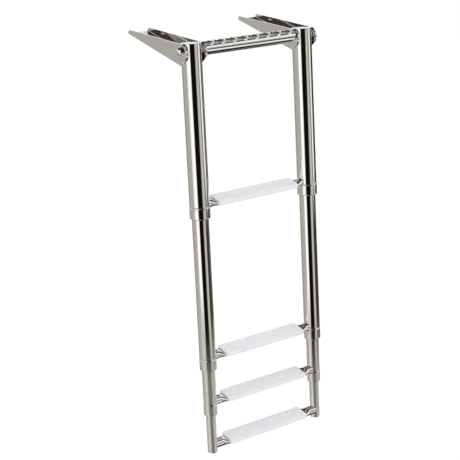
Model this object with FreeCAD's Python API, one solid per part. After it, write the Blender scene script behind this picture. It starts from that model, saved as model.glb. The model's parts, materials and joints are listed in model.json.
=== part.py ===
"""Telescoping boat boarding ladder that bolts on top of a swim platform.

Row frame: the deck is the plane Z = 0 and the origin lies on it, at the centre of the four deck bolts.
+X runs to the right-hand rail, +Y inboard, +Z up. Lengths are in millimetres, angles in degrees. The
ladder rests on its stop, leaning outboard, with the two lowest sections partly slid in.
"""
import FreeCAD, Part
import math
import os

from FreeCAD import Vector

os.makedirs("parts", exist_ok=True)

X_AXIS = Vector(1, 0, 0)
Z_AXIS = Vector(0, 0, 1)
SIDES = {"left": -1, "right": 1}

# Layout of the whole ladder
RAIL_SPACING = 262.0
RAIL_X = RAIL_SPACING / 2
LEAN = 16.9
PIVOT_HEIGHT = 27.2
BOLT_SPACING = 80.0
PIVOT_TO_BOLTS = 101.0

# Telescoping tubes, from the fixed upper section to the lowest one
SECTIONS = ["upper", "second", "third", "lowest"]
TUBE_RADIUS = {"upper": 19.05, "second": 16.0, "third": 12.7, "lowest": 9.525}
TUBE_WALL = 1.4
STEP_PITCH = 294.6
SLID_IN = {"second": 0.0, "third": 204.3, "lowest": 207.9}
RUNNING_GAP = 0.05
FREE_GAP = 0.35

# Levels measured along the rails from the pivot axis
RAIL_TOP = 12.2
FIRST_COLLAR_TOP = -286.7
RUNG_ABOVE_COLLAR = 2.5
TAIL_BELOW_RUNG = 16.2

# Collars and the plastic guides inside them
COLLAR_HEIGHT = 23.5
COLLAR_STEP = 0.4
COLLAR_BEAD = 0.75
COLLAR_BEAD_HEIGHT = 3.2
COLLAR_GROOVE = 0.2
COLLAR_EDGE_R = 2.2
COLLAR_LIP = 2.0
GUIDE_ABOVE_COLLAR = 8.0
STOP_RING_HEIGHT = 10.0
STOP_RING_PLAY = 0.2
STOP_RING_CHAMFER = 0.6

# Rungs: round tube pressed flat under the tread
RUNG_RADIUS = 9.5
RUNG_WALL = 1.2
FLAT_WIDTH = 25.3
FLAT_THICKNESS = 8.0
FLAT_HALF_LENGTH = 97.5
PRESSED_TAPER = 13.0
RUNG_END_INSET = 4.0

# Treads: plastic covers with a ribbed top and a skirt front and back
TREAD_LENGTH = 194.0
TREAD_WIDTH = 34.0
TREAD_TOP = 7.0
TREAD_BOTTOM = -2.0
TREAD_CORNER_R = 5.0
TREAD_EDGE_R = 1.2
GROOVE_COUNT = 6
GROOVE_PITCH = 4.4
GROOVE_WIDTH = 1.1
GROOVE_DEPTH = 0.5
GROOVE_LENGTH = 176.0
SCREW_X = [-70.0, 0.0, 70.0]
SCREW_RADIUS = 2.0
SCREW_REACH = 6.0
SCREW_HEAD_RADIUS = 4.0
SCREW_HEAD_HEIGHT = 1.8

# Folded deck brackets; distances along them are measured inboard from the pivot axis
SHEET = 2.5
BRACKET_HALF_WIDTH = 23.3
BEND_OUTER_R = 4.0
BEND_INNER_R = 1.5
BRACKET_TIP = 162.5
BRACKET_TIP_R = 6.5
NOSE_R = 16.5
NOSE_Y = -1.5
NOSE_Z = -3.3
NOSE_FOOT_ANGLE = 215.0
EDGE_SLOPE = 10.9
WEB_START = 12.7
MOUNT_HOLE_R = 4.25

# Top bar and pivot hardware
BAR_RADIUS = 12.7
BAR_WALL = 2.0
BAR_PLUG_LENGTH = 20.0
BAR_WASHER = 2.0
BAR_WASHER_RADIUS = 13.2
BOLT_RADIUS = 4.0
BOLT_HOLE_R = 4.1
BOLT_REACH = 15.0
BOLT_HEAD_RADIUS = 7.5
BOLT_HEAD_RIM = 2.0
BOLT_HEAD_HEIGHT = 6.0
HEAD_WASHER = 1.6
HEAD_WASHER_RADIUS = 9.5
SPACER_RADIUS = 6.0
PIVOT_BUSH_RADIUS = 8.0
PIVOT_BUSH_HALF = 19.4

# End caps
CAP_LIP = 1.0
CAP_DOME = 1.0
CAP_CHAMFER = 0.5
CAP_SKIRT = 3.5
CAP_WALL = 1.2
FOOT_CAP_HEIGHT = 4.0
FOOT_CAP_EDGE_R = 3.0
FOOT_CAP_PLUG = 8.0


def save(name, shape):
    """Writes one node's STEP file."""
    shape.exportStep(os.path.join("parts", name + ".step"))


def at_pivot(shape):
    """Moves a shape drawn about the X axis, or with the pivot at its origin, to the pivot axis."""
    return shape.translated(Vector(0, -PIVOT_TO_BOLTS, PIVOT_HEIGHT))


def lean(shape):
    """Turns a shape drawn along the rails, with the pivot axis at its origin, to its rest place."""
    placed = shape.copy()
    placed.rotate(Vector(0, 0, 0), X_AXIS, -LEAN)
    return at_pivot(placed)


def at_rail(shape, side):
    """Moves a shape drawn about the Z axis to the left or right rail, leaning."""
    moved = shape.copy()
    moved.translate(Vector(SIDES[side] * RAIL_X, 0, 0))
    return lean(moved)


def spin(outline, axis=Z_AXIS):
    """Revolves an outline of (radius, height) corners; a corner of four numbers ends an arc."""
    points = []
    edges = []
    for corner in outline + [outline[0]]:
        end = Vector(corner[-2], 0, corner[-1])
        if points and len(corner) == 4:
            middle = Vector(corner[0], 0, corner[1])
            edges.append(Part.Arc(points[-1], middle, end).toShape())
        elif points and end.distanceToPoint(points[-1]) > 1e-6:
            edges.append(Part.LineSegment(points[-1], end).toShape())
        points.append(end)
    solid = Part.Face(Part.Wire(edges)).revolve(Vector(0, 0, 0), Z_AXIS, 360)
    solid = Part.makeSolid(solid) if solid.ShapeType != "Solid" else solid
    if axis != Z_AXIS:
        solid.rotate(Vector(0, 0, 0), Vector(0, 1, 0), math.copysign(90, axis.x))
    return solid


def dome(rim, rim_z, height):
    """Two corners of an outline: halfway up a spherical dome from its rim, then its crown on the axis."""
    sphere_r = (rim ** 2 + height ** 2) / (2 * height)
    half_turn = math.asin(rim / sphere_r) / 2
    crown = rim_z + height
    return (sphere_r * math.sin(half_turn), crown - sphere_r * (1 - math.cos(half_turn)), 0, crown)


def ring(outer, inner, low, high):
    """A plain tube about Z."""
    return spin([(inner, low), (outer, low), (outer, high), (inner, high)])


def rod_x(radius, x0, x1):
    """A round bar along X at the height of the origin."""
    start = min(x0, x1)
    return Part.makeCylinder(radius, abs(x1 - x0), Vector(start, 0, 0), X_AXIS)


def bore(section):
    return TUBE_RADIUS[section] - TUBE_WALL


def next_section(section):
    return SECTIONS[SECTIONS.index(section) + 1]


def previous_section(section):
    return SECTIONS[SECTIONS.index(section) - 1]


def rung_level(section):
    """Height of a section's rung along the rails, with its slide as it rests."""
    level = FIRST_COLLAR_TOP + RUNG_ABOVE_COLLAR
    for name in SECTIONS[1:SECTIONS.index(section) + 1]:
        level += SLID_IN[name] - STEP_PITCH
    return level


def collar_top(section):
    return rung_level(section) - RUNG_ABOVE_COLLAR


def tube_top(section):
    """Upper end of a section's tubes: the stop ring stands on the guide when fully drawn out."""
    if section == "upper":
        return RAIL_TOP
    drawn_out = GUIDE_ABOVE_COLLAR + STOP_RING_PLAY + STOP_RING_HEIGHT
    return collar_top(previous_section(section)) + drawn_out + SLID_IN[section]


def tube_bottom(section):
    if section == "lowest":
        return rung_level(section) - TAIL_BELOW_RUNG + FOOT_CAP_HEIGHT
    return collar_top(section)


def section_tube(section):
    tube = ring(TUBE_RADIUS[section], bore(section), tube_bottom(section), tube_top(section))
    if section == "upper":
        tube = tube.cut(rod_x(PIVOT_BUSH_RADIUS, -TUBE_RADIUS[section] - 1, TUBE_RADIUS[section] + 1))
    return tube


def collar(section):
    """End sleeve: a rounded bead and groove at its top, a lip under the guide at its bottom."""
    r = TUBE_RADIUS[section]
    top = collar_top(section)
    bottom = top - COLLAR_HEIGHT
    edge_r = r + COLLAR_STEP - COLLAR_EDGE_R
    half = COLLAR_EDGE_R * math.sqrt(0.5)
    lip_r = TUBE_RADIUS[next_section(section)] + FREE_GAP
    return spin([
        (bore(section), top),
        (r, top),
        (r + COLLAR_BEAD, top - COLLAR_BEAD_HEIGHT / 2, r + COLLAR_GROOVE, top - COLLAR_BEAD_HEIGHT),
        (r + COLLAR_STEP, top - COLLAR_BEAD_HEIGHT - COLLAR_STEP),
        (r + COLLAR_STEP, bottom + COLLAR_EDGE_R),
        (edge_r + half, bottom + COLLAR_EDGE_R - half, edge_r, bottom),
        (lip_r, bottom),
        (lip_r, bottom + COLLAR_LIP),
        (bore(section), bottom + COLLAR_LIP),
    ])


def guide_bush(section):
    """Plastic sleeve in the lower end of a section, on which the next section slides."""
    inner = TUBE_RADIUS[next_section(section)] + RUNNING_GAP
    top = collar_top(section)
    return ring(bore(section), inner, top - COLLAR_HEIGHT + COLLAR_LIP, top + GUIDE_ABOVE_COLLAR)


def stop_ring(section):
    """Plastic ring on a sliding tube's upper end; it centres the tube and stops it at full length."""
    inner = TUBE_RADIUS[section]
    outer = bore(previous_section(section)) - RUNNING_GAP
    high = tube_top(section)
    low = high - STOP_RING_HEIGHT
    c = STOP_RING_CHAMFER
    return spin([(inner, low), (outer - c, low), (outer, low + c), (outer, high - c),
                 (outer - c, high), (inner, high)])


def rail_cap():
    """Slightly domed plug closing the top of an upper rail."""
    r = TUBE_RADIUS["upper"]
    fit = bore("upper")
    lip = RAIL_TOP + CAP_LIP
    return spin([
        (0, RAIL_TOP),
        (fit - CAP_WALL, RAIL_TOP),
        (fit - CAP_WALL, RAIL_TOP - CAP_SKIRT),
        (fit, RAIL_TOP - CAP_SKIRT),
        (fit, RAIL_TOP),
        (r, RAIL_TOP),
        (r, lip - CAP_CHAMFER),
        (r - CAP_CHAMFER, lip),
        dome(r - CAP_CHAMFER, lip, CAP_DOME),
    ])


def foot_cap():
    """Rounded plug closing the bottom of a lowest tube."""
    r = TUBE_RADIUS["lowest"]
    fit = bore("lowest")
    seat = tube_bottom("lowest")
    bottom = seat - FOOT_CAP_HEIGHT
    half = FOOT_CAP_EDGE_R * math.sqrt(0.5)
    edge_r = r - FOOT_CAP_EDGE_R
    edge_z = bottom + FOOT_CAP_EDGE_R
    return spin([
        (0, bottom),
        (edge_r, bottom),
        (edge_r + half, edge_z - half, r, edge_z),
        (r, seat),
        (fit, seat),
        (fit, seat + FOOT_CAP_PLUG),
        (fit - CAP_WALL, seat + FOOT_CAP_PLUG),
        (fit - CAP_WALL, seat - CAP_WALL),
        (0, seat - CAP_WALL),
    ])


def loop_at(x, half_span, end_height, radius):
    """Closed loop in the plane X = x: two long sides joined by round ends, or a full circle.

    The corners stand at (+-half_span, +-end_height); each side bulges out to the given radius.
    """
    a = Vector(x, -half_span, end_height)
    b = Vector(x, half_span, end_height)
    c = Vector(x, half_span, -end_height)
    d = Vector(x, -half_span, -end_height)
    round_tube = abs(half_span - end_height) < 1e-9
    right = Vector(x, radius if round_tube else half_span + end_height, 0)
    left = Vector(x, -right.y, 0)
    if round_tube:
        top = Part.Arc(a, Vector(x, 0, radius), b).toShape()
        low = Part.Arc(c, Vector(x, 0, -radius), d).toShape()
    else:
        top = Part.LineSegment(a, b).toShape()
        low = Part.LineSegment(c, d).toShape()
    ends = [Part.Arc(b, right, c).toShape(), Part.Arc(d, left, a).toShape()]
    return Part.Wire([top, ends[0], low, ends[1]])


def round_loop(x, radius):
    corner = radius * math.sqrt(0.5)
    return loop_at(x, corner, corner, radius)


def flat_loop(x, inset):
    half_thick = FLAT_THICKNESS / 2 - inset
    return loop_at(x, (FLAT_WIDTH - FLAT_THICKNESS) / 2, half_thick, None)


def pressed_bar(inset):
    """The rung's form before coping: round ends that reach into the rails, flat under the tread."""
    radius = RUNG_RADIUS - inset
    taper_end = FLAT_HALF_LENGTH + PRESSED_TAPER
    bar = Part.Face(flat_loop(-FLAT_HALF_LENGTH, inset)).extrude(Vector(2 * FLAT_HALF_LENGTH, 0, 0))
    for side in SIDES.values():
        loops = [flat_loop(side * FLAT_HALF_LENGTH, inset), round_loop(side * taper_end, radius)]
        bar = bar.fuse(Part.makeLoft(loops, True, True))
        bar = bar.fuse(rod_x(radius, side * taper_end, side * (RAIL_X - RUNG_END_INSET)))
    return bar


def rung_place(section):
    """Centre of a section's rung at rest, on the plane midway between the rails."""
    return lean(Part.Vertex(0, 0, rung_level(section))).Point


def tread_screws():
    """Three dome-headed screws that hold a tread from below, about the rung's centre."""
    seat = -FLAT_THICKNESS / 2
    screw = spin([
        (0, SCREW_REACH),
        (SCREW_RADIUS, SCREW_REACH),
        (SCREW_RADIUS, seat),
        (SCREW_HEAD_RADIUS, seat),
        dome(SCREW_HEAD_RADIUS, seat, -SCREW_HEAD_HEIGHT),
    ])
    return [screw.translated(Vector(x, 0, 0)) for x in SCREW_X]


def screw_holes(low, high):
    depth = high - low
    return [Part.makeCylinder(SCREW_RADIUS, depth, Vector(x, 0, low)) for x in SCREW_X]


def rung(section):
    """Hollow rung, coped to the rails and to the collars below it."""
    bar = pressed_bar(0).cut(pressed_bar(RUNG_WALL))
    for hole in screw_holes(-FLAT_THICKNESS, FLAT_THICKNESS):
        bar = bar.cut(hole)
    bar = bar.translated(rung_place(section))
    reach = 2 * COLLAR_HEIGHT
    low = rung_level(section) - reach
    core = Part.makeCylinder(TUBE_RADIUS[section], 2 * reach, Vector(0, 0, low))
    for side in SIDES:
        bar = bar.cut(at_rail(core, side))
        if section != "lowest":
            bar = bar.cut(at_rail(collar(section), side))
    return bar


def tread(section):
    """Plastic tread that fits over the flattened rung, level when the ladder is in use."""
    half_l = TREAD_LENGTH / 2
    half_w = TREAD_WIDTH / 2
    height = TREAD_TOP - TREAD_BOTTOM
    block = Part.makeBox(TREAD_LENGTH, TREAD_WIDTH, height, Vector(-half_l, -half_w, TREAD_BOTTOM))
    upright = [e for e in block.Edges if abs(e.tangentAt(e.FirstParameter).z) > 0.9]
    block = block.makeFillet(TREAD_CORNER_R, upright)
    rim = [e for e in block.Edges if e.BoundBox.ZMin > TREAD_TOP - 1e-3]
    block = block.makeFillet(TREAD_EDGE_R, rim)
    seat = FLAT_THICKNESS / 2
    channel = Part.makeBox(TREAD_LENGTH, FLAT_WIDTH, seat - TREAD_BOTTOM,
                           Vector(-half_l, -FLAT_WIDTH / 2, TREAD_BOTTOM))
    block = block.cut(channel)
    for i in range(GROOVE_COUNT):
        y = (i - (GROOVE_COUNT - 1) / 2) * GROOVE_PITCH - GROOVE_WIDTH / 2
        corner = Vector(-GROOVE_LENGTH / 2, y, TREAD_TOP - GROOVE_DEPTH)
        block = block.cut(Part.makeBox(GROOVE_LENGTH, GROOVE_WIDTH, GROOVE_DEPTH, corner))
    for hole in screw_holes(seat, SCREW_REACH):
        block = block.cut(hole)
    return block.translated(rung_place(section))


def channel_section(half_width, floor, corner_r):
    """Tall block along Y with its two lower edges rounded; its floor is at the given height."""
    half = corner_r * (1 - math.sqrt(0.5))
    y = -2 * NOSE_R
    top = 2 * PIVOT_HEIGHT
    side_z = floor + corner_r
    flat_x = half_width - corner_r
    corners = [Vector(-half_width, y, top), Vector(-half_width, y, side_z), Vector(-flat_x, y, floor),
               Vector(flat_x, y, floor), Vector(half_width, y, side_z), Vector(half_width, y, top)]
    bend_left = Vector(-half_width + half, y, floor + half)
    bend_right = Vector(half_width - half, y, floor + half)
    wire = Part.Wire([
        Part.LineSegment(corners[0], corners[1]).toShape(),
        Part.Arc(corners[1], bend_left, corners[2]).toShape(),
        Part.LineSegment(corners[2], corners[3]).toShape(),
        Part.Arc(corners[3], bend_right, corners[4]).toShape(),
        Part.LineSegment(corners[4], corners[5]).toShape(),
        Part.LineSegment(corners[5], corners[0]).toShape(),
    ])
    return Part.Face(wire).extrude(Vector(0, BRACKET_TIP - 2 * y, 0))


def side_outline():
    """Side view of a bracket: round nose at the pivot, straight top edge falling to the tip."""
    x = -BRACKET_HALF_WIDTH
    nose = Vector(x, NOSE_Y, PIVOT_HEIGHT + NOSE_Z)

    def on_nose(angle):
        turn = math.radians(angle)
        return nose + Vector(0, math.cos(turn), math.sin(turn)) * NOSE_R

    slope = math.radians(EDGE_SLOPE)
    top_start = on_nose(90 - EDGE_SLOPE)
    run = BRACKET_TIP - BRACKET_TIP_R - top_start.y
    top_end = Vector(x, top_start.y + run, top_start.z - run * math.tan(slope))
    foot_start = on_nose(NOSE_FOOT_ANGLE)
    lead = math.tan(math.radians(NOSE_FOOT_ANGLE - 180))
    foot = Vector(x, foot_start.y + foot_start.z * lead, 0)
    tip = Vector(x, BRACKET_TIP, top_end.z - BRACKET_TIP_R)
    tip_low = Vector(x, BRACKET_TIP, 0)
    bulge = BRACKET_TIP_R * math.sqrt(0.5)
    tip_middle = Vector(x, BRACKET_TIP - BRACKET_TIP_R + bulge, tip.z + bulge)
    wire = Part.Wire([
        Part.LineSegment(foot, foot_start).toShape(),
        Part.Arc(foot_start, on_nose(180 - EDGE_SLOPE), top_start).toShape(),
        Part.LineSegment(top_start, top_end).toShape(),
        Part.Arc(top_end, tip_middle, tip).toShape(),
        Part.LineSegment(tip, tip_low).toShape(),
        Part.LineSegment(tip_low, foot).toShape(),
    ])
    return Part.Face(wire).extrude(Vector(2 * BRACKET_HALF_WIDTH, 0, 0))


def bracket(side):
    """Folded sheet channel: two flanges and a floor that bolts to the deck."""
    inner = BRACKET_HALF_WIDTH - SHEET
    body = side_outline().common(channel_section(BRACKET_HALF_WIDTH, 0, BEND_OUTER_R))
    body = body.cut(channel_section(inner, SHEET, BEND_INNER_R))
    nose_reach = 3 * NOSE_R
    body = body.cut(Part.makeBox(2 * inner, nose_reach, PIVOT_HEIGHT,
                                 Vector(-inner, WEB_START - nose_reach, 0)))
    body.translate(Vector(0, -PIVOT_TO_BOLTS, 0))
    for y in [-BOLT_SPACING / 2, BOLT_SPACING / 2]:
        body = body.cut(Part.makeCylinder(MOUNT_HOLE_R, 2 * SHEET, Vector(0, y, -SHEET)))
    body = body.cut(at_pivot(rod_x(BOLT_HOLE_R, -2 * BRACKET_HALF_WIDTH, 2 * BRACKET_HALF_WIDTH)))
    return body.translated(Vector(SIDES[side] * RAIL_X, 0, 0))


def flange_inside():
    """Distance from the middle plane to the bracket flange that faces the top bar."""
    return RAIL_X - BRACKET_HALF_WIDTH


def bar_half_length():
    return flange_inside() - BAR_WASHER


def top_bar():
    half = bar_half_length()
    bar = rod_x(BAR_RADIUS, -half, half)
    return at_pivot(bar.cut(rod_x(BAR_RADIUS - BAR_WALL, -half, half)))


def bar_plug(side):
    """Threaded insert in an end of the top bar."""
    outer = SIDES[side] * bar_half_length()
    inner = outer - SIDES[side] * BAR_PLUG_LENGTH
    plug = rod_x(BAR_RADIUS - BAR_WALL, inner, outer)
    return at_pivot(plug.cut(rod_x(BOLT_RADIUS, inner, outer)))


def washer(radius, x0, x1):
    return at_pivot(rod_x(radius, x0, x1).cut(rod_x(BOLT_HOLE_R, x0, x1)))


def bar_washer(side):
    return washer(BAR_WASHER_RADIUS, SIDES[side] * bar_half_length(), SIDES[side] * flange_inside())


def head_washer(side):
    outside = SIDES[side] * (RAIL_X + BRACKET_HALF_WIDTH)
    return washer(HEAD_WASHER_RADIUS, outside, outside + SIDES[side] * HEAD_WASHER)


def pivot_spacer(side):
    """Steel sleeve clamped between a bracket's flanges; the rail turns on it."""
    centre = SIDES[side] * RAIL_X
    inner = BRACKET_HALF_WIDTH - SHEET
    sleeve = rod_x(SPACER_RADIUS, centre - inner, centre + inner)
    return at_pivot(sleeve.cut(rod_x(BOLT_HOLE_R, centre - inner, centre + inner)))


def pivot_bolt(side):
    """Dome-headed bolt from outside a bracket into the bar's threaded insert."""
    outward = SIDES[side]
    seat = outward * (RAIL_X + BRACKET_HALF_WIDTH + HEAD_WASHER)
    end = outward * (bar_half_length() - BOLT_REACH)
    shank = rod_x(BOLT_RADIUS, end, seat)
    head = spin([
        (0, 0),
        (BOLT_HEAD_RADIUS, 0),
        (BOLT_HEAD_RADIUS, BOLT_HEAD_RIM),
        dome(BOLT_HEAD_RADIUS, BOLT_HEAD_RIM, BOLT_HEAD_HEIGHT - BOLT_HEAD_RIM),
    ], X_AXIS * outward)
    return at_pivot(shank.fuse(head.translated(Vector(seat, 0, 0))))


def pivot_bush(side):
    """Plastic bush through an upper rail, turning on the spacer."""
    centre = SIDES[side] * RAIL_X
    bush = rod_x(PIVOT_BUSH_RADIUS, centre - PIVOT_BUSH_HALF, centre + PIVOT_BUSH_HALF)
    hole = rod_x(SPACER_RADIUS + RUNNING_GAP, centre - PIVOT_BUSH_HALF, centre + PIVOT_BUSH_HALF)
    return at_pivot(bush.cut(hole))


def main():
    for side in SIDES:
        save(side + "_bracket", bracket(side))
        save(side + "_bar_plug", bar_plug(side))
        save(side + "_bar_washer", bar_washer(side))
        save(side + "_bolt_washer", head_washer(side))
        save(side + "_pivot_spacer", pivot_spacer(side))
        save(side + "_pivot_bolt", pivot_bolt(side))
        save(side + "_pivot_bush", pivot_bush(side))
        save(side + "_rail_cap", at_rail(rail_cap(), side))
        save(side + "_foot_cap", at_rail(foot_cap(), side))
        for section in SECTIONS:
            save(side + "_" + section + "_tube", at_rail(section_tube(section), side))
        for section in SECTIONS[:-1]:
            save(side + "_" + section + "_collar", at_rail(collar(section), side))
            save(side + "_" + section + "_guide_bush", at_rail(guide_bush(section), side))
        for section in SECTIONS[1:]:
            save(side + "_" + section + "_stop_ring", at_rail(stop_ring(section), side))
    save("top_bar", top_bar())
    for section in SECTIONS:
        save(section + "_rung", rung(section))
        save(section + "_tread", tread(section))
        screws = [s.translated(rung_place(section)) for s in tread_screws()]
        save(section + "_tread_screws", Part.makeCompound(screws))


main()
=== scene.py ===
"""Looks for the telescoping boarding ladder: materials, finished pieces, studio and camera."""
import json
import math
from dataclasses import dataclass

import bmesh
import bpy
from mathutils import Matrix, Vector


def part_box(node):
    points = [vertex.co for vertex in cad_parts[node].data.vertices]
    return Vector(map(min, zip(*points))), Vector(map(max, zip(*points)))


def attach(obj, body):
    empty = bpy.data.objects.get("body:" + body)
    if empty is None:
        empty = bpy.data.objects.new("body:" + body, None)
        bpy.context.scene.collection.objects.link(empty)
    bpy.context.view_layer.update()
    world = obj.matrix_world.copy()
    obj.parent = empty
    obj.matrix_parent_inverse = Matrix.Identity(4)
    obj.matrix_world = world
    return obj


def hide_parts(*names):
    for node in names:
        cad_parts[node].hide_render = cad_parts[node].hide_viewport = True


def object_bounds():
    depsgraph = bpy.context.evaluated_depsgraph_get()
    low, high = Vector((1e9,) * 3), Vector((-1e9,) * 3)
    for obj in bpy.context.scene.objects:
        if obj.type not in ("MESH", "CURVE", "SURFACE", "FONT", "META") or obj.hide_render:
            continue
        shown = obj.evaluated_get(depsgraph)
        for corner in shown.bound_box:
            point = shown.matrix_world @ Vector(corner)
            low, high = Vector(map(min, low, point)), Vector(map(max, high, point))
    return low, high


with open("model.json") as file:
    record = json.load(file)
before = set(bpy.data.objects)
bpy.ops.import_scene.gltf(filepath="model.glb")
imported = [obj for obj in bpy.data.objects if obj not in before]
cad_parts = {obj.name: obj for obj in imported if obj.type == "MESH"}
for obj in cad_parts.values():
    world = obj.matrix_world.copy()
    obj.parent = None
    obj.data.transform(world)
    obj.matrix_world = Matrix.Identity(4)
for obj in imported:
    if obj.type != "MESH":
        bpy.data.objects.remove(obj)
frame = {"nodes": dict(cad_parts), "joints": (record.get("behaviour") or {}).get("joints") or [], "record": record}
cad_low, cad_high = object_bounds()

JOINTS = {j["name"]: j for j in frame["joints"]}
PIVOT = Vector(JOINTS["ladder_pivot"]["pos_m"])
UP_RAIL = Vector(JOINTS["second_slide"]["axis"])
LEAN = math.atan2(UP_RAIL.y, UP_RAIL.z)
SECTIONS = ["upper", "second", "third", "lowest"]


# ---------------------------------------------------------------- node helpers
class Tree:
    """Short calls for building a node tree."""

    def __init__(self, tree):
        self.tree = tree
        self.nodes = tree.nodes
        self.links = tree.links

    def node(self, kind, **settings):
        made = self.nodes.new(kind)
        for key, value in settings.items():
            setattr(made, key, value)
        return made

    def set(self, node, **values):
        for key, value in values.items():
            node.inputs[key.replace("_", " ")].default_value = value
        return node

    def link(self, source, target):
        self.links.new(source, target)

    def math(self, operation, a, b=None, clamp=False):
        node = self.node("ShaderNodeMath", operation=operation, use_clamp=clamp)
        for socket, value in zip(node.inputs, (a, b)):
            if isinstance(value, (int, float)):
                socket.default_value = value
            elif value is not None:
                self.link(value, socket)
        return node.outputs[0]

    def mix(self, factor, a, b):
        node = self.node("ShaderNodeMix", data_type="RGBA")
        for socket, value in ((node.inputs[0], factor), (node.inputs[6], a), (node.inputs[7], b)):
            if isinstance(value, (int, float)):
                socket.default_value = value
            elif isinstance(value, tuple):
                socket.default_value = (*value, 1)
            else:
                self.link(value, socket)
        return node.outputs[2]


def new_material(name):
    material = bpy.data.materials.new(name)
    material.use_nodes = True
    tree = Tree(material.node_tree)
    shader = tree.nodes["Principled BSDF"]
    return material, tree, shader


# Noise cells per metre: polishing marks are fine across the rails and long along them.
MARKS_ACROSS, MARKS_ALONG = 900, 12
TONE_DRIFT = 14.0
MARK_HEIGHT = 0.0001
PLASTIC_GRAIN, PLASTIC_MOTTLE = 900.0, 35.0
GRAIN_HEIGHT = 0.0002


def steel(name, light, dark, roughness, grain):
    """Polished stainless: faint tone drift, fine lengthwise polishing marks."""
    material, tree, shader = new_material(name)
    tree.set(shader, Metallic=1.0)
    coords = tree.node("ShaderNodeTexCoord")
    turn = tree.node("ShaderNodeMapping")
    turn.inputs["Rotation"].default_value = (LEAN, 0, 0)
    turn.inputs["Scale"].default_value = (MARKS_ACROSS, MARKS_ACROSS, MARKS_ALONG)
    tree.link(coords.outputs["Object"], turn.inputs["Vector"])
    marks = tree.set(tree.node("ShaderNodeTexNoise"), Scale=1.0, Detail=3.0)
    tree.link(turn.outputs[0], marks.inputs["Vector"])
    drift = tree.set(tree.node("ShaderNodeTexNoise"), Scale=TONE_DRIFT, Detail=2.0)
    tree.link(coords.outputs["Object"], drift.inputs["Vector"])
    tree.link(tree.mix(drift.outputs["Fac"], light, dark), shader.inputs["Base Color"])
    rough = tree.node("ShaderNodeMapRange")
    rough.inputs["To Min"].default_value = roughness * 0.7
    rough.inputs["To Max"].default_value = roughness * 1.3
    tree.link(marks.outputs["Fac"], rough.inputs["Value"])
    tree.link(rough.outputs[0], shader.inputs["Roughness"])
    bump = tree.set(tree.node("ShaderNodeBump"), Strength=grain, Distance=MARK_HEIGHT)
    tree.link(marks.outputs["Fac"], bump.inputs["Height"])
    tree.link(bump.outputs[0], shader.inputs["Normal"])
    return material


def plastic(name, light, dark, roughness):
    """Moulded plastic: slight mottling and a fine grain."""
    material, tree, shader = new_material(name)
    tree.set(shader, Roughness=roughness)
    coords = tree.node("ShaderNodeTexCoord")
    grain = tree.set(tree.node("ShaderNodeTexNoise"), Scale=PLASTIC_GRAIN, Detail=3.0)
    tree.link(coords.outputs["Object"], grain.inputs["Vector"])
    mottle = tree.set(tree.node("ShaderNodeTexNoise"), Scale=PLASTIC_MOTTLE, Detail=3.0)
    tree.link(coords.outputs["Object"], mottle.inputs["Vector"])
    tree.link(tree.mix(mottle.outputs["Fac"], light, dark), shader.inputs["Base Color"])
    bump = tree.set(tree.node("ShaderNodeBump"), Strength=0.25, Distance=GRAIN_HEIGHT)
    tree.link(grain.outputs["Fac"], bump.inputs["Height"])
    tree.link(bump.outputs[0], shader.inputs["Normal"])
    return material


POLISHED = steel("polished_tube_steel", (0.90, 0.89, 0.87), (0.86, 0.85, 0.83), 0.022, 0.01)
SATIN = steel("bracket_steel", (0.88, 0.88, 0.87), (0.84, 0.84, 0.83), 0.05, 0.02)
PLAIN = steel("fastener_steel", (0.84, 0.83, 0.81), (0.78, 0.77, 0.75), 0.08, 0.02)
TREAD = plastic("tread_plastic", (0.80, 0.80, 0.83), (0.77, 0.77, 0.80), 0.42)
GUIDE = plastic("guide_plastic", (0.80, 0.80, 0.76), (0.74, 0.74, 0.70), 0.45)
SLOT_LOOKS = {"polished_steel": POLISHED, "satin_steel": SATIN, "plain_steel": PLAIN,
              "tread_plastic": TREAD, "guide_plastic": GUIDE}


def dress_cad_nodes():
    for part in frame["record"]["subparts"]:
        look = SLOT_LOOKS[part["material_slot"]]
        node = frame["nodes"][part["node"]]
        node.data.materials.clear()
        node.data.materials.append(look)


# ---------------------------------------------------------------- finished pieces
def lofted_piece(name, rows, body, slot_name, node):
    """A closed piece lofted through rows of points, standing for one CAD node."""
    mesh = bpy.data.meshes.new(name)
    shape = bmesh.new()
    loops = [[shape.verts.new(point) for point in row] for row in rows]
    for first, second in zip(loops, loops[1:]):
        for i in range(len(first)):
            j = (i + 1) % len(first)
            shape.faces.new((first[i], first[j], second[j], second[i]))
    shape.faces.new(loops[0][::-1])
    shape.faces.new(loops[-1])
    bmesh.ops.recalc_face_normals(shape, faces=shape.faces)
    for face in shape.faces:
        face.smooth = len(face.verts) == 4
    shape.to_mesh(mesh)
    shape.free()
    piece = bpy.data.objects.new(name, mesh)
    bpy.context.scene.collection.objects.link(piece)
    mesh.materials.append(SLOT_LOOKS[slot_name])
    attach(piece, body)
    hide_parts(node)
    return piece


# The hand grip's pressed pattern: two wavy strands that cross, with an island in each oval.
OVALS = 8
BAND_MIDDLE = math.radians(104)
STRAND_SWING = math.radians(48)
STRAND_HALF_WIDTH = 0.0026
STRAND_RISE = 0.0008
GROUND_DEPTH = 0.0004
ISLAND_HALF_TURN = math.radians(20)
ISLAND_SHARE = 0.24
OVAL_SQUARENESS = 0.2
BAR_STATIONS = 360
BAR_FACETS = 144


def crown(share):
    """Round-topped bump: 1 in the middle, 0 from share 1 outwards."""
    return (1 - min(abs(share), 1.0) ** 2) ** 1.5


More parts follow.
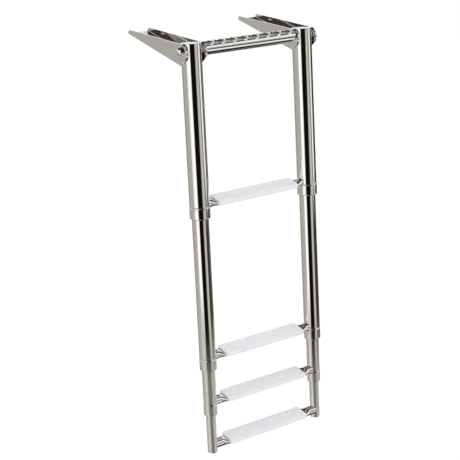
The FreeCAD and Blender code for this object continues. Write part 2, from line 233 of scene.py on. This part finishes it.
def grip_relief(along, turn, pitch, radius):
    """Height over the plain bar, at a place along it and a turn from outboard up over the top."""
    wave = math.sin(math.pi * along / pitch)
    off_middle = turn - BAND_MIDDLE
    swing = STRAND_SWING * wave
    strands = [crown((off_middle - side * swing) * radius / STRAND_HALF_WIDTH) for side in (-1, 1)]
    in_oval = (along / pitch) % 1.0 - 0.5
    island = crown(math.hypot(in_oval / ISLAND_SHARE, off_middle / ISLAND_HALF_TURN))
    raised = max(*strands, island)
    inside = crown(off_middle / max(abs(swing), 1e-6)) ** OVAL_SQUARENESS
    return STRAND_RISE * raised - GROUND_DEPTH * inside * (1 - raised)


def top_bar():
    low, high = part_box("top_bar")
    middle = (low + high) / 2
    radius = (high.z - low.z) / 2
    length = high.x - low.x
    pitch = length / OVALS
    rows = []
    for station in range(BAR_STATIONS + 1):
        along = length * station / BAR_STATIONS
        row = []
        for facet in range(BAR_FACETS):
            turn = 2 * math.pi * facet / BAR_FACETS
            reach = radius + grip_relief(along, turn, pitch, radius)
            outboard, up = reach * math.cos(turn), reach * math.sin(turn)
            row.append((low.x + along, middle.y - outboard, middle.z + up))
        rows.append(row)
    lofted_piece("grip_bar", rows, "deck_mount", "polished_steel", "top_bar")


TREAD_EDGE_R = 0.0025
TREAD_CORNER_R = 0.005
TREAD_ROUND_STEPS = 6
GROOVES = 6
GROOVE_PITCH = 0.0044
GROOVE_HALF_WIDTH = 0.0009
GROOVE_DEPTH = 0.0005
GROOVE_RUN_IN = 0.002
END_CROWN_SHARE = 0.6
TREAD_TOP_POINTS = 120


def groove_drop(y):
    """How far the tread's top drops at a place across it."""
    middles = [(i - (GROOVES - 1) / 2) * GROOVE_PITCH for i in range(GROOVES)]
    return GROOVE_DEPTH * max(crown((y - middle) / GROOVE_HALF_WIDTH) for middle in middles)


def tread_outline(half_width, bottom, top, groove_share):
    """Section across a tread, anticlockwise from its lower right corner."""
    corner = TREAD_EDGE_R
    turns = [math.radians(90 * step / TREAD_ROUND_STEPS) for step in range(TREAD_ROUND_STEPS + 1)]
    side = half_width - corner
    right_low = [(side + corner * math.sin(t), bottom + corner * (1 - math.cos(t))) for t in turns]
    right_high = [(side + corner * math.cos(t), top - corner * (1 - math.sin(t))) for t in turns]
    places = [side - 2 * side * step / TREAD_TOP_POINTS for step in range(1, TREAD_TOP_POINTS)]
    across = [(y, top - groove_share * groove_drop(y)) for y in places]
    left = [(-y, z) for y, z in (right_low + right_high)[::-1]]
    return right_low + right_high + across + left


def tread(section):
    """Tread with softly rounded edges and corners and fine grooves, in its CAD node's space."""
    node = f"{section}_tread"
    low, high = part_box(node)
    middle = (low + high) / 2
    half = (high - low) / 2
    stations = []
    for step in range(TREAD_ROUND_STEPS + 1):
        angle = math.radians(90 * step / TREAD_ROUND_STEPS)
        draw_in = 1 - math.sin(angle)
        stations.append((-half.x + TREAD_CORNER_R * (1 - math.cos(angle)), draw_in, 0.0))
    groove_end = half.x - TREAD_CORNER_R
    stations += [(-groove_end + GROOVE_RUN_IN, 0.0, 0.0), (-groove_end + 2 * GROOVE_RUN_IN, 0.0, 1.0)]
    stations += [(-x, draw_in, share) for x, draw_in, share in reversed(stations)]
    rows = []
    for x, draw_in, share in stations:
        drop = TREAD_EDGE_R * draw_in * END_CROWN_SHARE
        outline = tread_outline(half.y - TREAD_CORNER_R * draw_in, -half.z + drop, half.z - drop, share)
        rows.append([(middle.x + x, middle.y + y, middle.z + z) for y, z in outline])
    lofted_piece(f"{section}_step_pad", rows, f"{section}_section", "tread_plastic", node)


# ---------------------------------------------------------------- studio
CAMERA_AZIMUTH = -41.73
CAMERA_ELEVATION = 27.07
CAMERA_TILT = 8.70
CAMERA_LENS = 113.1
CAMERA_DISTANCE = 2.711
CAMERA_AIM = PIVOT + Vector((-0.0630, -0.1004, -0.3304))

FLOOR_HALF = 30.0
FLOOR_DROP = 0.6
FLOOR_GLOW = 0.06
KEY_PLACE = (-1.2, -0.9, 4.0)
KEY_SIZE = (2.5, 2.5)
KEY_POWER = 30


WARM, CREAM, BROWN, WHITE = (1.0, 0.97, 0.89), (1.0, 0.93, 0.82), (1.0, 0.84, 0.70), (1.0, 1.0, 1.0)
# Where no card is met, the room: a warm mid grey.
ROOM = (0.45, WARM)
NO_END = 2.0
ALL_ROUND = (-200, 200)


@dataclass
class Card:
    """A softbox, wall, flag or floor patch, as a patch of directions that polished steel reflects.

    Later cards stand in front of earlier ones.

    turn: from and to, in degrees round the rails, 0 straight outboard and + to the right.
    rise: from and to, as the direction's share along the rails, -1 down and +1 up.
    """
    name: str
    turn: tuple
    rise: tuple
    level: float
    tint: tuple
    turn_edge: float = 8.0
    rise_edge: float = 0.05


CARDS = [
    Card("bright_upper_wall", ALL_ROUND, (0.10, 0.45), 0.95, WHITE, rise_edge=0.06),
    Card("open_dark_ceiling", ALL_ROUND, (0.45, NO_END), 0.05, BROWN, rise_edge=0.06),
    Card("high_back_softbox", (137, 178), (0.35, 0.80), 1.00, WHITE, turn_edge=4.0),
    Card("overhead_strip_light", (20, 100), (0.66, 0.82), 0.40, WHITE),
    Card("back_softbox", (145, 170), (-0.36, 0.50), 0.90, WHITE),
    Card("dim_back_corner", (-175, -155), (-0.36, 0.10), 0.30, WARM, turn_edge=15.0),
    Card("dark_right_wall", (35, 120), (-0.32, -0.10), 0.05, BROWN, turn_edge=12.0),
    Card("right_strip_light", (45, 68), (-0.22, 0.50), 1.00, WHITE),
    Card("front_strip_light", (10, 32), (-0.32, 0.10), 0.60, CREAM),
    Card("left_softbox", (-92, -50), (-0.30, 0.50), 1.15, WHITE, turn_edge=30.0),
    Card("flag_round_camera", (-52, 2), (-0.345, 0.50), 0.005, WHITE, rise_edge=0.03),
    Card("floor", ALL_ROUND, (-NO_END, -0.36), 0.50, WARM),
    Card("lit_floor_left", (-110, -65), (-0.40, -0.30), 0.65, WARM, turn_edge=25.0),
    Card("shaded_floor_in_front", (-55, 10), (-0.44, -0.33), 0.20, WARM, turn_edge=25.0),
    Card("far_floor", ALL_ROUND, (-NO_END, -0.70), 0.25, WARM, rise_edge=0.15),
    Card("floor_shine_right", (30, 62), (-0.66, -0.40), 1.00, WHITE),
    # Painted shadow: the floor in front of the ladder, as the steel reflects it, darkened as if in shade.
    Card("floor_shadow_in_front", (-30, 15), (-NO_END, -0.42), 0.03, BROWN, turn_edge=15.0),
    Card("dark_floor_right", (50, 130), (-NO_END, -0.62), 0.02, BROWN, turn_edge=15.0),
    Card("floor_shine_left", (-110, -75), (-NO_END, -0.40), 0.85, WHITE, turn_edge=20.0),
    Card("dark_floor_back", (-165, -135), (-NO_END, -0.40), 0.08, WARM, turn_edge=15.0),
    Card("floor_shine_back", (145, 170), (-NO_END, -0.40), 0.85, WHITE, turn_edge=15.0),
]


def band(tree, value, span, edge):
    """1 inside the span and 0 outside it, fading over the edge's width."""
    low, high = span
    inside = []
    for at, from_share, to_share in ((low, 0, 1), (high, 1, 0)):
        step = tree.node("ShaderNodeMapRange", interpolation_type="SMOOTHSTEP")
        tree.set(step, From_Min=at - edge / 2, From_Max=at + edge / 2)
        tree.set(step, To_Min=from_share, To_Max=to_share)
        tree.link(value, step.inputs["Value"])
        inside.append(step.outputs[0])
    return tree.math("MULTIPLY", inside[0], inside[1])


def lit(level, tint):
    return tuple(level * channel for channel in tint)


def studio_world():
    """White to the camera, soft white on plastic, and the studio's cards in polished steel."""
    world = bpy.data.worlds.new("studio")
    bpy.context.scene.world = world
    world.use_nodes = True
    tree = Tree(world.node_tree)
    output = tree.nodes["World Output"]
    plain = tree.set(tree.nodes["Background"], Color=(1, 1, 1, 1), Strength=1.0)
    coords = tree.node("ShaderNodeTexCoord")
    turn = tree.node("ShaderNodeMapping")
    turn.inputs["Rotation"].default_value = (LEAN, 0, 0)
    tree.link(coords.outputs["Generated"], turn.inputs["Vector"])
    split = tree.node("ShaderNodeSeparateXYZ")
    tree.link(turn.outputs[0], split.inputs[0])
    x, y, rise = split.outputs
    around = tree.math("ARCTAN2", x, tree.math("MULTIPLY", y, -1.0))
    degrees = tree.math("MULTIPLY", around, 180 / math.pi)
    seen = lit(*ROOM)
    for card in CARDS:
        share = tree.math("MULTIPLY", band(tree, degrees, card.turn, card.turn_edge),
                          band(tree, rise, card.rise, card.rise_edge))
        seen = tree.mix(share, seen, lit(card.level, card.tint))
    mirror = tree.node("ShaderNodeBackground")
    tree.link(seen, mirror.inputs["Color"])
    rays = tree.node("ShaderNodeLightPath")
    blend = tree.node("ShaderNodeMixShader")
    tree.link(rays.outputs["Is Glossy Ray"], blend.inputs[0])
    tree.link(plain.outputs[0], blend.inputs[1])
    tree.link(mirror.outputs[0], blend.inputs[2])
    tree.link(blend.outputs[0], output.inputs["Surface"])


def studio_floor():
    """Pale floor well below the hanging ladder."""
    mesh = bpy.data.meshes.new("floor")
    half = FLOOR_HALF
    z = cad_low.z - FLOOR_DROP
    corners = [(-half, -half, z), (half, -half, z), (half, half, z), (-half, half, z)]
    mesh.from_pydata(corners, [], [(0, 1, 2, 3)])
    floor = bpy.data.objects.new("floor", mesh)
    bpy.context.scene.collection.objects.link(floor)
    material, tree, shader = new_material("pale_floor")
    tree.set(shader, Base_Color=(0.95, 0.95, 0.95, 1), Roughness=0.9)
    tree.set(shader, Emission_Color=(1, 1, 1, 1), Emission_Strength=FLOOR_GLOW)
    mesh.materials.append(material)
    floor.visible_glossy = False


def area_light(name, place, aim, size, power):
    data = bpy.data.lights.new(name, "AREA")
    data.shape = "RECTANGLE"
    data.size, data.size_y = size
    data.energy = power
    light = bpy.data.objects.new(name, data)
    light.location = place
    light.rotation_mode = "QUATERNION"
    light.rotation_quaternion = (Vector(aim) - Vector(place)).to_track_quat("-Z", "Y")
    light.visible_glossy = False
    bpy.context.scene.collection.objects.link(light)


def studio_camera():
    """Long lens from the water side, left of the ladder, slightly tilted."""
    azimuth = math.radians(CAMERA_AZIMUTH)
    elevation = math.radians(CAMERA_ELEVATION)
    tilt = math.radians(-CAMERA_TILT)
    level = math.cos(elevation)
    back = Vector((math.sin(azimuth) * level, -math.cos(azimuth) * level, math.sin(elevation)))
    side = back.cross(Vector((0, 0, -1))).normalized()
    up = side.cross(-back)
    up_tilted = up * math.cos(tilt) + side * math.sin(tilt)
    side_tilted = side * math.cos(tilt) - up * math.sin(tilt)
    data = bpy.data.cameras.new("camera")
    data.sensor_width = 36.0
    data.lens = CAMERA_LENS
    camera = bpy.data.objects.new("camera", data)
    turn = Matrix((side_tilted, up_tilted, back)).transposed()
    camera.matrix_world = Matrix.Translation(CAMERA_AIM + back * CAMERA_DISTANCE) @ turn.to_4x4()
    bpy.context.scene.collection.objects.link(camera)
    bpy.context.scene.camera = camera


dress_cad_nodes()
top_bar()
for section in SECTIONS:
    tread(section)
studio_world()
studio_floor()
area_light("key", KEY_PLACE, PIVOT, KEY_SIZE, KEY_POWER)
studio_camera()
bpy.context.scene.view_settings.view_transform = "Standard"
